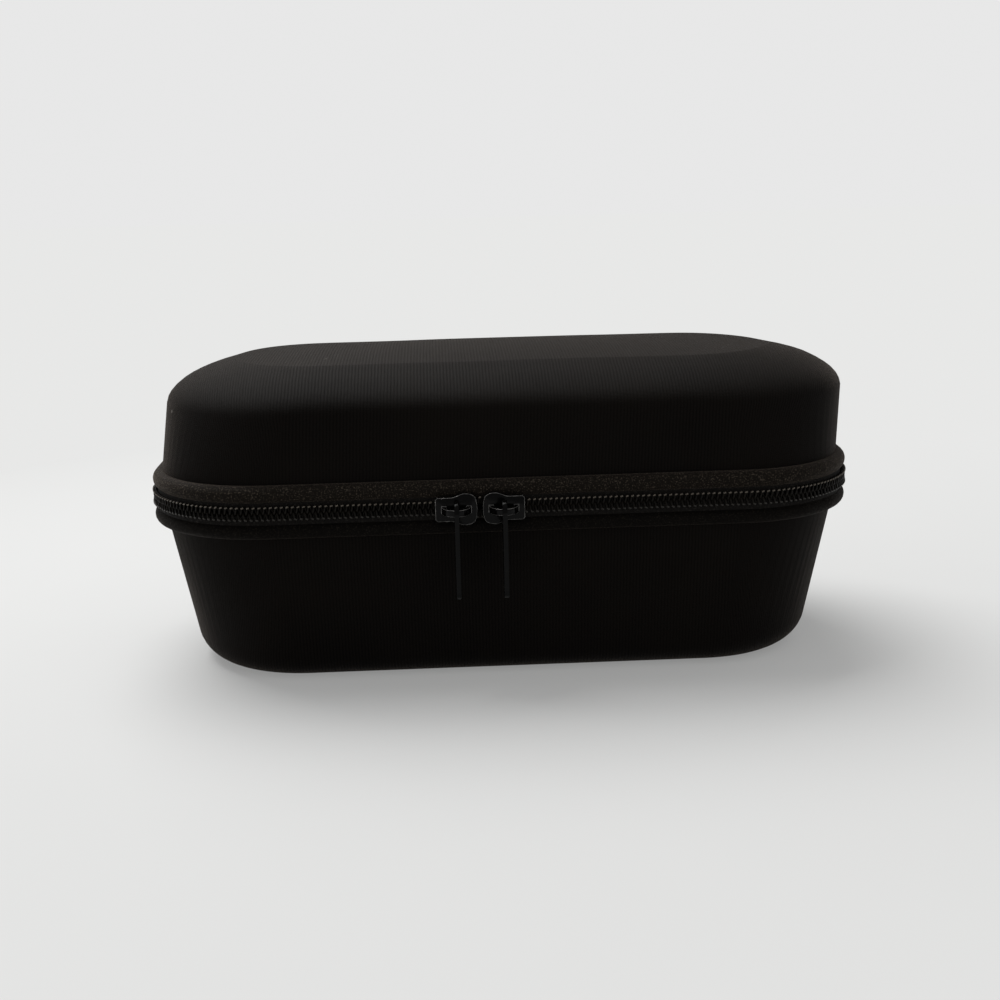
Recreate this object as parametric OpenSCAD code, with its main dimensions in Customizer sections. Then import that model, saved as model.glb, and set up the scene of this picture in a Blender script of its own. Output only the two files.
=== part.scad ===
// Zipped hard case for an electric shaver: two moulded shells, a coil zip with
// two sliders round three sides, and a fabric hinge along the back.
// The origin is the middle of the underside. +Z is up, and the front, where
// the sliders meet, faces -Y. All sizes are in millimetres.
//
// Every piece that follows the rim is drawn as a cross-section in which the
// first number is the inset from the outermost line of the rim beads and the
// second is the height.

/* [Overall] */
// Length over the rim beads, left to right
case_l = 190; // [180:1:230]
// Depth over the rim beads, front to back
case_w = 94; // [84:1:120]
// Height from the underside to the top of the lid
case_h = 83.5; // [79:0.5:100]
// Height of the seam between the base and the lid
seam_z = 48.5; // [46:0.5:55]
// Corner radius over the rim beads, seen from above
rim_r = 33; // [29:0.5:36]

/* [Shells] */
// Thickness of the moulded foam wall
wall_t = 3.5; // [2.8:0.1:4]
// Thickness of the cloth lining
lining_t = 0.6; // [0.4:0.1:1]
// How far the lid's wall stands in from the beads
lid_step = 2.6; // [2.4:0.1:3.2]
// Draft of the lid's wall in degrees
lid_draft = 1; // [0.5:0.5:4]
// Width of the rounded shoulder of the lid
shoulder_w = 19; // [14:0.5:21]
// Height of the rounded shoulder of the lid
shoulder_h = 11; // [8:0.5:16]
// Share of a quarter ellipse that the shoulder turns through, in degrees
shoulder_turn = 60; // [50:5:80]
// How far the base's wall stands in from the beads
base_step = 3.3; // [2.6:0.1:3.4]
// Draft of the base's wall in degrees
base_draft = 8.5; // [5:0.5:11]
// Radius between the base's wall and its underside
foot_r = 9; // [7:0.5:13]

/* [Rim] */
// Radius of the rolled bead round each shell
bead_r = 2; // [1.9:0.1:2.2]
// Height of each bead's centre line from the seam
bead_z = 5; // [5:0.1:5.4]
// Thickness of the bead's lip in front of the zip tape
lip_t = 1.15; // [1:0.05:1.3]
// Height of each shell's hard edge from the seam
edge_z = 5.9; // [5.8:0.1:6.1]
// Thickness of the binding that covers the hard edge
binding_t = 0.5; // [0.3:0.1:0.5]
// Height of the binding on the inside of the wall
binding_h = 6.5; // [5:0.5:8]

/* [Zip] */
// Thickness of the zip tape
tape_t = 0.6; // [0.4:0.1:0.8]
// Distance of the tape's edge from the seam
tape_edge = 0.9; // [0.8:0.1:1.2]
// Distance from one coil turn to the next
coil_pitch = 1.4; // [1.3:0.05:1.6]
// Width of one coil turn along the zip
turn_w = 0.55; // [0.4:0.05:0.58]
// Thickness of the coil, front to back
coil_t = 1.3; // [1.1:0.05:1.4]
// Reach of the coil from the seam into its own half
coil_reach = 2.1; // [1.8:0.05:2.15]
// How far the coil's heads pass the seam where the zip is closed
interlock = 0.35; // [0.25:0.05:0.4]
// How far each half is parted where the sliders' posts stand between them
parted = 0.95; // [0.9:0.05:0.95]
// How far the zip runs into each back corner, in degrees
zip_end_turn = 50; // [30:5:50]

/* [Sliders] */
// Length of a slider body
slider_l = 10.7; // [9.5:0.1:12]
// Gap between the two sliders' noses at rest
nose_gap = 1.4; // [0.8:0.1:3]
// Where the sliders meet, right of the case's middle
meet_x = -7; // [-10:0.5:10]
// Height of a slider at its tail
tail_h = 6.2; // [5.6:0.1:6.6]
// Height of a slider at its nose
nose_h = 10.2; // [9:0.1:10.6]
// Thickness of a slider's front and back plates
plate_t = 1.1; // [0.9:0.1:1.2]
// Clear space between the coil and the front plate
coil_clear = 0.35; // [0.3:0.05:0.5]
// Clear space between the tape and the back plate
tape_clear = 0.25; // [0.25:0.05:0.35]
// Depth of the rim that is turned in round the front plate
plate_rim = 0.2; // [0.1:0.05:0.2]
// Width of that rim
plate_rim_w = 0.7; // [0.5:0.1:0.9]
// Thickness of the wedge that parts the coils
post_t = 1; // [0.7:0.1:1.05]
// Length of that wedge from the nose
post_l = 4; // [3:0.1:4.5]
// Length of the bridge that carries the pull tab
bridge_l = 7.6; // [7:0.1:8.4]
// Height of the bridge above the front plate
bridge_h = 4.8; // [4.6:0.1:5.4]
// Width of the bridge
bridge_w = 1.7; // [1.4:0.1:1.8]
// Thickness of the bridge
bridge_t = 1.2; // [1:0.1:1.3]

/* [Pull tabs] */
// Length of a pull tab below the middle of the bridge
tab_l = 22.5; // [18:0.5:28]
// Width of a pull tab at its eye
tab_w = 6; // [5.6:0.1:6.4]
// Width of a pull tab at its lower end
tab_end_w = 5; // [4.4:0.1:6]
// Thickness of a pull tab
tab_t = 1.2; // [0.9:0.1:1.5]
// Radius of the eye that hangs on the bridge
eye_r = 1.4; // [1.3:0.05:1.6]
// Radius of the hole near the lower end
tab_hole_r = 1.2; // [0.8:0.1:1.5]

/* [Interior] */
// Height of the foam cradle's top above the underside
cradle_z = 17; // [15:0.5:20]
// Depth of the trough in the cradle
trough_depth = 6; // [4:0.5:7]
// Radius of the trough
trough_r = 34; // [28:1:40]
// Length of the trough
trough_l = 118; // [100:1:124]
// Place of the divider, right of the middle
divider_x = 44; // [36:1:54]
// Thickness of the divider
divider_t = 6; // [4:0.5:8]
// Distance of the divider's top below the seam
divider_drop = 7; // [7:0.5:14]
// Thickness of the hook tape on the divider's ends
hook_t = 0.9; // [0.6:0.1:1.2]
// Height of the hook tape
hook_h = 16; // [12:1:18]
// Thickness of the pocket's net
net_t = 0.8; // [0.6:0.1:1.2]
// Height of the net above the lid's hard edge
net_rise = 1; // [0.5:0.5:5]
// Distance of the pocket's mouth in front of the middle
mouth_y = 8; // [4:1:12]
// Width of the elastic along the pocket's mouth
elastic_w = 5; // [4:0.5:8]
// Thickness of the elastic
elastic_t = 1.6; // [1.2:0.1:2]
// Width of the binding that holds the net
net_binding_w = 4; // [3:0.5:6]

/* [Hidden] */
$fn = 64;

// Steps in one rounded stretch of a cross-section
arc_steps = 10;
bead_steps = 12;
// Rounding at the corners of small parts
small_r = 1;
// Space left round the soft pieces inside the case
soft_clear = 0.3;
// Extra length of a cutting solid past the face it opens
cut_over = 1;

shell_cloth = [0.075, 0.068, 0.06];
tape_cloth = [0.06, 0.055, 0.05];
lining_cloth = [0.12, 0.12, 0.125];
foam_grey = [0.16, 0.16, 0.165];
coil_nylon = [0.1, 0.095, 0.09];
slider_metal = [0.13, 0.13, 0.135];
net_black = [0.09, 0.09, 0.095];

// Middle of the plan's corner arcs
core_x = case_l / 2 - rim_r;
core_y = case_w / 2 - rim_r;

// Height above the seam at which each bead runs into its wall
lid_wall_z = bead_z + sqrt(pow(bead_r, 2) - pow(lid_step - bead_r, 2));
base_wall_z = bead_z + sqrt(max(0, pow(bead_r, 2) - pow(min(base_step, 2 * bead_r) - bead_r, 2)));

// Shoulder of the lid: the ellipse, and the height at which it starts
shoulder_z = case_h - shoulder_h;
shoulder_a = shoulder_w / (1 - cos(shoulder_turn));
shoulder_b = shoulder_h / sin(shoulder_turn);

// Centre of the rounding at the foot of the base, as an inset
foot_u = base_step + (seam_z - base_wall_z - foot_r * (1 - sin(base_draft))) * tan(base_draft)
    + foot_r * cos(base_draft);

// Insets of the layers at the zip
tape_u = lip_t;
tape_back_u = tape_u + tape_t;
coil_u = tape_u - coil_t;
plate_face_u = coil_u - coil_clear;
plate_front_u = plate_face_u - plate_t;
back_plate_u = tape_back_u + tape_clear;
back_plate_end_u = back_plate_u + plate_t;
binding_u = back_plate_end_u + soft_clear;

// Place of each slider's middle, and inset of the bridge's bar
slider_x = (slider_l + nose_gap) / 2;
bar_u = plate_front_u - bridge_h + bridge_t / 2;

// Where a slider's plate starts to flare and is widest, and the bluntness of its nose
flare_x = -slider_l / 8;
shoulder_x = slider_l / 5;
nose_power = 2.6;

// Points of an ellipse from angle a0 to angle a1
function arc(c, rx, ry, a0, a1, n) =
    [for (i = [0 : n]) let (a = a0 + (a1 - a0) * i / n) [c[0] + rx * cos(a), c[1] + ry * sin(a)]];

// A smooth step from 0 to 1
function smooth(t) = let (c = min(1, max(0, t))) c * c * (3 - 2 * c);

// Inset of each shell's surface, offset inwards, at height z on its straight wall
function lid_inset(off, z) =
    lid_step + off / cos(lid_draft) + (z - seam_z - lid_wall_z) * tan(lid_draft);
function base_inset(off, z) =
    base_step + off / cos(base_draft) + (seam_z - base_wall_z - z) * tan(base_draft);

// The lid's surface, offset inwards, from its wall's lower end at height z0 to
// the flat top, which ends at the corner arcs' centre
function lid_surface(off, z0) = concat(
    [[lid_inset(off, z0), z0]],
    arc([lid_inset(0, shoulder_z) + shoulder_a, shoulder_z],
        shoulder_a - off, shoulder_b - off, 180, 180 - shoulder_turn, arc_steps),
    [[rim_r, shoulder_z + (shoulder_b - off) * sin(shoulder_turn)]]
);

// The same for the base, from its wall's upper end down to the flat underside
function base_surface(off, z0) = concat(
    [[base_inset(off, z0), z0]],
    arc([foot_u, foot_r], foot_r - off, foot_r - off, 180 + base_draft, 270, arc_steps),
    [[rim_r, off]]
);

function reversed(list) = [for (i = [len(list) - 1 : -1 : 0]) list[i]];

// The rolled bead, from the lip's lower edge round to inset u on the wall,
// above the seam when up is 1 and below it when up is -1
function bead(u, up) =
    let (
        a0 = 360 - acos((lip_t - bead_r) / bead_r),
        a1 = acos((min(u, 2 * bead_r) - bead_r) / bead_r)
    )
    [for (i = [0 : bead_steps]) let (a = a0 + (a1 - a0) * i / bead_steps)
        [bead_r + bead_r * cos(a), seam_z + up * (bead_z + bead_r * sin(a))]];

// A cross-section as its distance from the corner arcs' centre, and its height
function outwards(section) = [for (p = section) [rim_r - p[0], p[1]]];

// The cross-section along the back, and along the right side
module straight_x(section) {
    translate([-core_x, core_y, 0])
        rotate([90, 0, 90])
            linear_extrude(2 * core_x)
                polygon(outwards(section));
}

module straight_y(section) {
    translate([core_x, core_y, 0])
        rotate([90, 0, 0])
            linear_extrude(2 * core_y)
                polygon(outwards(section));
}

// The cross-section round the back corner, from the side towards the back
module corner(section, turn) {
    translate([core_x, core_y, 0])
        rotate_extrude(angle = turn)
            polygon(outwards(section));
}

// The same, from the back towards the side
module corner_from_back(section, turn) {
    translate([core_x, core_y, 0])
        rotate(90)
            mirror([0, 1, 0])
                rotate_extrude(angle = turn)
                    polygon(outwards(section));
}

module right_and_left() {
    children();
    mirror([1, 0, 0]) children();
}

// The whole rim
module rim_ring(section) {
    straight_x(section);
    mirror([0, 1, 0]) straight_x(section);
    right_and_left() {
        straight_y(section);
        corner(section, 90);
        mirror([0, 1, 0]) corner(section, 90);
    }
}

// The stretch that the zip closes: front, sides and part of the back corners
module zip_run(section) {
    mirror([0, 1, 0]) straight_x(section);
    right_and_left() {
        straight_y(section);
        mirror([0, 1, 0]) corner(section, 90);
        corner(section, zip_end_turn);
    }
}

// The stretch that the hinge closes: the back, and the rest of its corners
module hinge_run(section) {
    straight_x(section);
    right_and_left() corner_from_back(section, 90 - zip_end_turn);
}

// A flat slab inside the ring of corner arcs' centres
module core_slab(z0, z1) {
    translate([-core_x, -core_y, z0])
        cube([2 * core_x, 2 * core_y, z1 - z0]);
}

// A rounded rectangle at an inset from the rim, from z0 to z1
module rim_plate(u, z0, z1) {
    rim_ring([[u, z0], [rim_r, z0], [rim_r, z1], [u, z1]]);
    core_slab(z0, z1);
}

// Shells

module lid_shell() {
    outer = lid_surface(0, seam_z + lid_wall_z);
    inner = lid_surface(wall_t, seam_z + edge_z);
    color(shell_cloth) {
        rim_ring(concat(bead(lid_step, 1), outer, reversed(inner), [[lip_t, seam_z + edge_z]]));
        core_slab(inner[len(inner) - 1][1], case_h);
    }
}

module base_shell() {
    outer = base_surface(0, seam_z - base_wall_z);
    inner = base_surface(wall_t, seam_z - edge_z);
    color(shell_cloth) {
        rim_ring(concat(bead(base_step, -1), outer, reversed(inner), [[lip_t, seam_z - edge_z]]));
        core_slab(0, wall_t);
    }
}

module lid_lining() {
    outer = lid_surface(wall_t, seam_z + edge_z);
    inner = lid_surface(wall_t + lining_t, seam_z + edge_z);
    color(lining_cloth) {
        rim_ring(concat(outer, reversed(inner)));
        core_slab(inner[len(inner) - 1][1], outer[len(outer) - 1][1]);
    }
}

module base_lining() {
    outer = base_surface(wall_t, seam_z - edge_z);
    inner = base_surface(wall_t + lining_t, seam_z - edge_z);
    color(lining_cloth) {
        rim_ring(concat(outer, reversed(inner)));
        core_slab(wall_t, wall_t + lining_t);
    }
}

// Binding folded over each hard edge, and up or down the inside of the wall

module lid_binding() {
    edge = seam_z + edge_z;
    high = edge + binding_h;
    wall = lid_inset(wall_t + lining_t, edge);
    high_wall = lid_inset(wall_t + lining_t, high);
    color(tape_cloth)
        rim_ring([
            [binding_u, edge - binding_t], [wall + binding_t, edge - binding_t],
            [high_wall + binding_t, high], [high_wall, high], [wall, edge], [binding_u, edge]
        ]);
}

module base_binding() {
    edge = seam_z - edge_z;
    low = edge - binding_h;
    wall = base_inset(wall_t + lining_t, edge);
    low_wall = base_inset(wall_t + lining_t, low);
    color(tape_cloth)
        rim_ring([
            [binding_u, edge + binding_t], [wall + binding_t, edge + binding_t],
            [low_wall + binding_t, low], [low_wall, low], [wall, edge], [binding_u, edge]
        ]);
}

// Zip

module lid_zip_tape() {
    color(tape_cloth)
        zip_run([
            [tape_u, seam_z + tape_edge], [tape_back_u, seam_z + tape_edge],
            [tape_back_u, seam_z + edge_z], [tape_u, seam_z + edge_z]
        ]);
}

module base_zip_tape() {
    color(tape_cloth)
        zip_run([
            [tape_u, seam_z - edge_z], [tape_back_u, seam_z - edge_z],
            [tape_back_u, seam_z - tape_edge], [tape_u, seam_z - tape_edge]
        ]);
}

// The coil runs at this radius in the corners
coil_run_r = rim_r - tape_u;
front_arc = coil_run_r * PI / 2;
side_start = core_x + front_arc;
back_start = side_start + 2 * core_y;
zip_half_l = back_start + coil_run_r * zip_end_turn * PI / 180;
turns = floor(zip_half_l / coil_pitch - 0.5);

// Place and heading of the point at distance s along the zip, right of the middle
function along(s) =
    s < core_x ? [s, -core_y - coil_run_r, 0] :
    s < side_start ?
        let (t = (s - core_x) / front_arc * 90)
        [core_x + coil_run_r * sin(t), -core_y - coil_run_r * cos(t), t] :
    s < back_start ? [core_x + coil_run_r, -core_y + s - side_start, 90] :
        let (t = (s - back_start) / coil_run_r * 180 / PI)
        [core_x + coil_run_r * cos(t), core_y + coil_run_r * sin(t), 90 + t];

// How far a half is lifted off the seam at distance s right of the middle
function lift(s) = parted * (1 - smooth((abs(s - meet_x) - slider_x) / (slider_l / 2 - 1)));

// One turn of the coil: a flat bar with a pointed head towards the seam
module coil_turn() {
    head = turn_w / 2;
    rotate([90, 0, 0])
        linear_extrude(coil_t)
            polygon([
                [-turn_w / 2, head - interlock], [-turn_w / 4, -interlock],
                [turn_w / 4, -interlock], [turn_w / 2, head - interlock],
                [turn_w / 2, coil_reach - head], [turn_w / 4, coil_reach],
                [-turn_w / 4, coil_reach], [-turn_w / 2, coil_reach - head]
            ]);
}

// All turns of one half; phase moves them along the zip by a share of a pitch
module coil_half(up, phase) {
    for (side = [-1, 1], k = [0 : turns]) {
        s = (k + phase) * coil_pitch;
        p = along(s);
        if (side > 0 || s > 0)
            translate([side * p[0], p[1], seam_z + up * lift(side * s)])
                rotate(side * p[2])
                    mirror([0, 0, up > 0 ? 0 : 1])
                        coil_turn();
    }
}

module lid_coil() {
    color(coil_nylon) coil_half(1, 0.5);
}

module base_coil() {
    color(coil_nylon) coil_half(-1, 0);
}

// Hinge

module hinge_fabric() {
    color(tape_cloth)
        hinge_run([
            [tape_u, seam_z - edge_z], [tape_back_u, seam_z - edge_z],
            [tape_back_u, seam_z + edge_z], [tape_u, seam_z + edge_z]
        ]);
}

module hinge_lining() {
    reach = edge_z - binding_t;
    color(lining_cloth)
        straight_x([
            [binding_u, seam_z - reach], [binding_u + binding_t, seam_z - reach],
            [binding_u + binding_t, seam_z + reach], [binding_u, seam_z + reach]
        ]);
}

// Sliders: x runs from the tail to the nose, y stands off the case and z is up

// Half the height of a slider's plate at distance x from its middle: low at the
// tail, flared over the shoulders, and round at the nose
function plate_half(x, inset) =
    let (
        end = slider_l / 2 - inset,
        flare = tail_h / 2 + (nose_h - tail_h) / 2 * smooth((x - flare_x) / (shoulder_x - flare_x)),
        t = max(0, (x - shoulder_x) / (end - shoulder_x))
    )
    (flare - inset) * sqrt(max(0, 1 - pow(t, nose_power)));

// The plate's outline, with small chamfers at its tail
function plate_outline(inset) =
    let (
        tail = -slider_l / 2 + inset,
        nose = slider_l / 2 - inset,
        cut = small_r / 2,
        steps = 2 * arc_steps,
        half = [for (i = [0 : steps - 1])
            let (x = tail + (nose - tail) * sin(90 * i / steps)) [x, plate_half(x, inset)]],
        upper = concat(
            [[tail, tail_h / 2 - inset - cut], [tail + cut, tail_h / 2 - inset]],
            [for (p = half) if (p[0] > tail + small_r) p],
            [[nose, 0]]
        ),
        lower = [for (i = [len(upper) - 2 : -1 : 0]) [upper[i][0], -upper[i][1]]]
    )
    concat(upper, lower);

// A plate of a slider between two insets
module slider_plate(inset, u0, u1) {
    translate([0, -case_w / 2 + u1, 0])
        rotate([90, 0, 0])
            linear_extrude(u1 - u0)
                polygon(plate_outline(inset));
}

module slider_bridge() {
    outer = arc([0, 0], bridge_l / 2, bridge_h, 0, 180, 2 * arc_steps);
    inner = arc([0, 0], bridge_l / 2 - bridge_t, bridge_h - bridge_t, 180, 0, 2 * arc_steps);
    translate([0, -case_w / 2 + plate_front_u, -bridge_w / 2])
        mirror([0, 1, 0])
            linear_extrude(bridge_w)
                polygon(concat(outer, inner));
}

module slider_post() {
    nose = slider_l / 2 - small_r / 2;
    translate([0, -case_w / 2 + back_plate_u, 0])
        rotate([90, 0, 0])
            linear_extrude(back_plate_u - plate_face_u)
                polygon([
                    [nose, -post_t / 4], [nose, post_t / 4], [nose - post_l / 3, post_t / 2],
                    [nose - post_l, 0], [nose - post_l / 3, -post_t / 2]
                ]);
}

module slider_body() {
    color(slider_metal) {
        slider_plate(0, plate_front_u, plate_face_u);
        difference() {
            slider_plate(0, plate_face_u, plate_face_u + plate_rim);
            slider_plate(plate_rim_w, plate_face_u - cut_over, plate_face_u + plate_rim + cut_over);
        }
        slider_plate(0, back_plate_u, back_plate_end_u);
        slider_post();
        slider_bridge();
    }
}

// The left slider's nose points right, and the right slider's points left
module left_slider() {
    translate([meet_x - slider_x, 0, seam_z]) slider_body();
}

module right_slider() {
    translate([meet_x + slider_x, 0, seam_z]) mirror([1, 0, 0]) slider_body();
}

// A pull tab hangs on the bridge by its eye, edge-on to the front
module pull_tab(x) {
    low = tab_end_w / 2 - tab_l;
    color(slider_metal)
        translate([x - tab_t / 2, -case_w / 2 + bar_u, seam_z])
            rotate([90, 0, 90])
                difference() {
                    linear_extrude(tab_t)
                        polygon(concat(
                            arc([0, 0], tab_w / 2, tab_w / 2, 0, 180, 2 * arc_steps),
                            arc([0, low], tab_end_w / 2, tab_end_w / 2, 180, 360, 2 * arc_steps)
                        ));
                    translate([0, 0, -cut_over])
                        cylinder(r = eye_r, h = tab_t + 2 * cut_over);
                    translate([0, low, -cut_over])
                        cylinder(r = tab_hole_r, h = tab_t + 2 * cut_over);
                }
}

module left_pull_tab() {
    pull_tab(meet_x - slider_x);
}

module right_pull_tab() {
    pull_tab(meet_x + slider_x);
}

// Interior of the base

module foam_cradle() {
    off = wall_t + lining_t;
    surface = base_surface(off, cradle_z);
    color(foam_grey)
        difference() {
            union() {
                rim_ring(concat(surface, [[rim_r, cradle_z]]));
                core_slab(off, cradle_z);
            }
            translate([-trough_l / 2, 0, cradle_z - trough_depth + trough_r])
                rotate([0, 90, 0])
                    cylinder(r = trough_r, h = trough_l);
        }
}

// Half the clear depth of the lined base at height z
function base_clear_y(z) = case_w / 2 - base_inset(wall_t + lining_t, z);

divider_top = seam_z - edge_z - divider_drop;
hook_high = divider_top - small_r;
hook_low = hook_high - hook_h;

// An outline in the plane across the case, made as thick as the divider
module across_case() {
    translate([divider_x - divider_t / 2, 0, 0])
        rotate([90, 0, 90])
            linear_extrude(divider_t)
                children();
}

module divider() {
    end = [
        [base_clear_y(cradle_z) - hook_t, cradle_z],
        [base_clear_y(hook_high) - hook_t, hook_high],
        [base_clear_y(divider_top) - hook_t - small_r, divider_top]
    ];
    color(foam_grey)
        across_case()
            polygon(concat(end, [for (p = reversed(end)) [-p[0], p[1]]]));
}

module divider_hook_tapes() {
    outer_low = base_clear_y(hook_low);
    outer_high = base_clear_y(hook_high);
    color(tape_cloth)
        for (side = [0, 1])
            mirror([0, side, 0])
                across_case()
                    polygon([
                        [outer_low - hook_t, hook_low], [outer_low, hook_low],
                        [outer_high, hook_high], [outer_high - hook_t, hook_high]
                    ]);
}

// Net pocket in the lid: the net spans from the back to its mouth

net_z = seam_z + edge_z + net_rise;
net_top = net_z + max(elastic_t, 2 * net_t);
net_u = lid_inset(wall_t + lining_t, net_top) + binding_t;

// The part of a rounded plate behind the line y = front
module behind(front) {
    intersection() {
        children();
        translate([-case_l, front, 0])
            cube([2 * case_l, case_w, case_h]);
    }
}

module pocket_net() {
    color(net_black)
        behind(-mouth_y)
            rim_plate(net_u, net_z, net_z + net_t);
}

module pocket_elastic() {
    color(tape_cloth)
        difference() {
            behind(-mouth_y - elastic_w)
                rim_plate(net_u, net_z, net_z + elastic_t);
            translate([-case_l, -mouth_y, 0])
                cube([2 * case_l, case_w, case_h]);
        }
}

module pocket_binding() {
    low = net_z + net_t;
    high = low + net_t;
    color(tape_cloth)
        behind(-mouth_y)
            rim_ring([
                [net_u, low], [net_u + net_binding_w, low],
                [net_u + net_binding_w, high], [net_u, high]
            ]);
}

base_shell();
base_lining();
base_binding();
base_zip_tape();
base_coil();
foam_cradle();
divider();
divider_hook_tapes();
hinge_fabric();
hinge_lining();
lid_shell();
lid_lining();
lid_binding();
lid_zip_tape();
lid_coil();
pocket_net();
pocket_elastic();
pocket_binding();
left_slider();
left_pull_tab();
right_slider();
right_pull_tab();
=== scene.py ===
"""Looks of a zipped hard case for an electric shaver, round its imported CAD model."""
import math

import bmesh
import bpy
import numpy as np
from mathutils import Matrix, Vector


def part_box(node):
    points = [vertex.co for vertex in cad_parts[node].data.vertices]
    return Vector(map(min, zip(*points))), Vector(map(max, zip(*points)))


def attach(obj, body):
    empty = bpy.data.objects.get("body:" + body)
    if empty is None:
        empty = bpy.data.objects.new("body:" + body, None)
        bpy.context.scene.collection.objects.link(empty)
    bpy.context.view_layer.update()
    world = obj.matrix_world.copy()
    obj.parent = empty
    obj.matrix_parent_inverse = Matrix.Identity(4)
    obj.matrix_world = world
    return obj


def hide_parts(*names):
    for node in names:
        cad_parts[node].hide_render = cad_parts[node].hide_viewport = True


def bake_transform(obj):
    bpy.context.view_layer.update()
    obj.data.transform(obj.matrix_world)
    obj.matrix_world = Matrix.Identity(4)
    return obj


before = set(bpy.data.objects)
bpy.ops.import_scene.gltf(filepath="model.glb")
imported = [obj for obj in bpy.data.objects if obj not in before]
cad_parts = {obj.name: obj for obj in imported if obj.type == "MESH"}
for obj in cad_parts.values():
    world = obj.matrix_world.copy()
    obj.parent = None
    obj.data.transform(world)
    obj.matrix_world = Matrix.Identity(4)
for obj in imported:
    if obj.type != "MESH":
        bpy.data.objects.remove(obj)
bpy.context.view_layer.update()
MM = 0.001

# Sizes read from the frame
half_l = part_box("lid_shell")[1].x
half_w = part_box("lid_shell")[1].y
top_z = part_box("lid_shell")[1].z
seam_z = (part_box("left_slider")[0].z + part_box("left_slider")[1].z) / 2
left_x = (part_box("left_pull_tab")[0].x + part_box("left_pull_tab")[1].x) / 2
right_x = (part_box("right_pull_tab")[0].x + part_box("right_pull_tab")[1].x) / 2
meet_x, slider_x = (left_x + right_x) / 2, (right_x - left_x) / 2
slider_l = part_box("right_slider")[1].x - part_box("right_slider")[0].x
cradle_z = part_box("foam_cradle")[1].z

# Plan of the rim: corner radius, and the middles of the corner arcs
rim_r = 33 * MM
core_x = half_l - rim_r
core_y = half_w - rim_r
flat_u = rim_r - 1 * MM
corner_steps = 18

# Shells
wall_t = 3.5 * MM
lining_t = 0.6 * MM
lid_step = 2.6 * MM
lid_draft = math.radians(1)
shoulder_w = 19 * MM
shoulder_h = 11 * MM
shoulder_turn = math.radians(60)
base_step = 3.3 * MM
base_draft = math.radians(8.5)
foot_r = 9 * MM

# Rim beads, lips and hard edges
bead_r = 2 * MM
bead_z = 5 * MM
lid_bead_r = 2.3 * MM
lid_bead_z = 4.7 * MM
lip_t = 1.15 * MM
edge_z = 5.9 * MM
binding_t = 0.5 * MM
binding_h = 6.5 * MM

# Zip
tape_t = 0.6 * MM
tape_edge = 0.9 * MM
tape_clear = 0.25 * MM
plate_t = 1.1 * MM
coil_pitch = 1.4 * MM
wire_r = 0.27 * MM
coil_t = 1.3 * MM
coil_reach = 2.1 * MM
interlock = 0.35 * MM
parted = 0.95 * MM
nose_from = 3.1 * MM
nose_share = 0.5
zip_end_turn = 50

# Space round the soft pieces, and the steps of rounded stretches
soft_clear = 0.3 * MM
arc_steps = 10
bead_steps = 12
run_step = 6 * MM

lid_wall_z = bead_z + math.sqrt(bead_r**2 - (lid_step - bead_r) ** 2)
base_wall_z = bead_z + math.sqrt(bead_r**2 - (base_step - bead_r) ** 2)
shoulder_z = top_z - shoulder_h
shoulder_a = shoulder_w / (1 - math.cos(shoulder_turn))
shoulder_b = shoulder_h / math.sin(shoulder_turn)
foot_u = (
    base_step
    + (seam_z - base_wall_z - foot_r * (1 - math.sin(base_draft))) * math.tan(base_draft)
    + foot_r * math.cos(base_draft)
)
binding_u = lip_t + tape_t + tape_clear + plate_t + soft_clear


# Cross-sections: each point is the inset from the rim's outermost line, and the height


def arc(centre, rx, ry, first, last, steps):
    """Points of an ellipse between two angles in degrees."""
    angles = [math.radians(first + (last - first) * i / steps) for i in range(steps + 1)]
    return [(centre[0] + rx * math.cos(a), centre[1] + ry * math.sin(a)) for a in angles]


def smooth(t):
    """A smooth step from 0 to 1, for numbers and arrays."""
    c = np.clip(t, 0, 1)
    return c * c * (3 - 2 * c)


def lid_inset(off, z):
    return lid_step + off / math.cos(lid_draft) + (z - seam_z - lid_wall_z) * math.tan(lid_draft)


def base_inset(off, z):
    return base_step + off / math.cos(base_draft) + (seam_z - base_wall_z - z) * math.tan(base_draft)


def lid_surface(off, z0):
    """The lid from height z0 up to the end of its shoulder, offset inwards."""
    centre = (lid_inset(0, shoulder_z) + shoulder_a, shoulder_z)
    turn = 180 - math.degrees(shoulder_turn)
    curve = arc(centre, shoulder_a - off, shoulder_b - off, 180, turn, arc_steps)
    (u0, z1), (u1, z2) = curve[-2:]
    step_u, step_z = u1 - u0, z2 - z1
    crease = [(u1 - 0.16 * step_u, z2 - 0.04 * step_z), (u1, z2), (u1 + 0.24 * step_u, z2)]
    return [(lid_inset(off, z0), z0)] + curve[:-1] + crease


def base_surface(off, z0):
    """The base from height z0 down to the end of its foot, offset inwards."""
    draft = math.degrees(base_draft)
    curve = arc((foot_u, foot_r), foot_r - off, foot_r - off, 180 + draft, 270, arc_steps)
    return [(base_inset(off, z0), z0)] + curve


def to_flat(points):
    """A cross-section carried on along the flat, nearly to its middle."""
    return points + [(flat_u, points[-1][1])]


def bead_section(step, up, radius=bead_r, rise=bead_z):
    """The rolled bead of a shell with the flange behind it."""
    first = 360 - math.degrees(math.acos((lip_t - radius) / radius))
    last = math.degrees(math.acos((step - radius) / radius))
    points = arc((radius, rise), radius, radius, first, last, bead_steps)
    back = [(step + bead_r, points[-1][1]), (step + bead_r, edge_z), (lip_t, edge_z)]
    return [(u, seam_z + up * z) for u, z in points + back]


# Modelling helpers


def start_alone():
    """Leaves edit mode and deselects all, so that an operator meets only its own piece."""
    if bpy.context.object and bpy.context.object.mode != "OBJECT":
        bpy.ops.object.mode_set(mode="OBJECT")
    bpy.ops.object.select_all(action="DESELECT")


def select_alone(piece):
    """Makes a piece the only one that the next operator acts on."""
    start_alone()
    piece.select_set(True)
    bpy.context.view_layer.objects.active = piece


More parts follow.
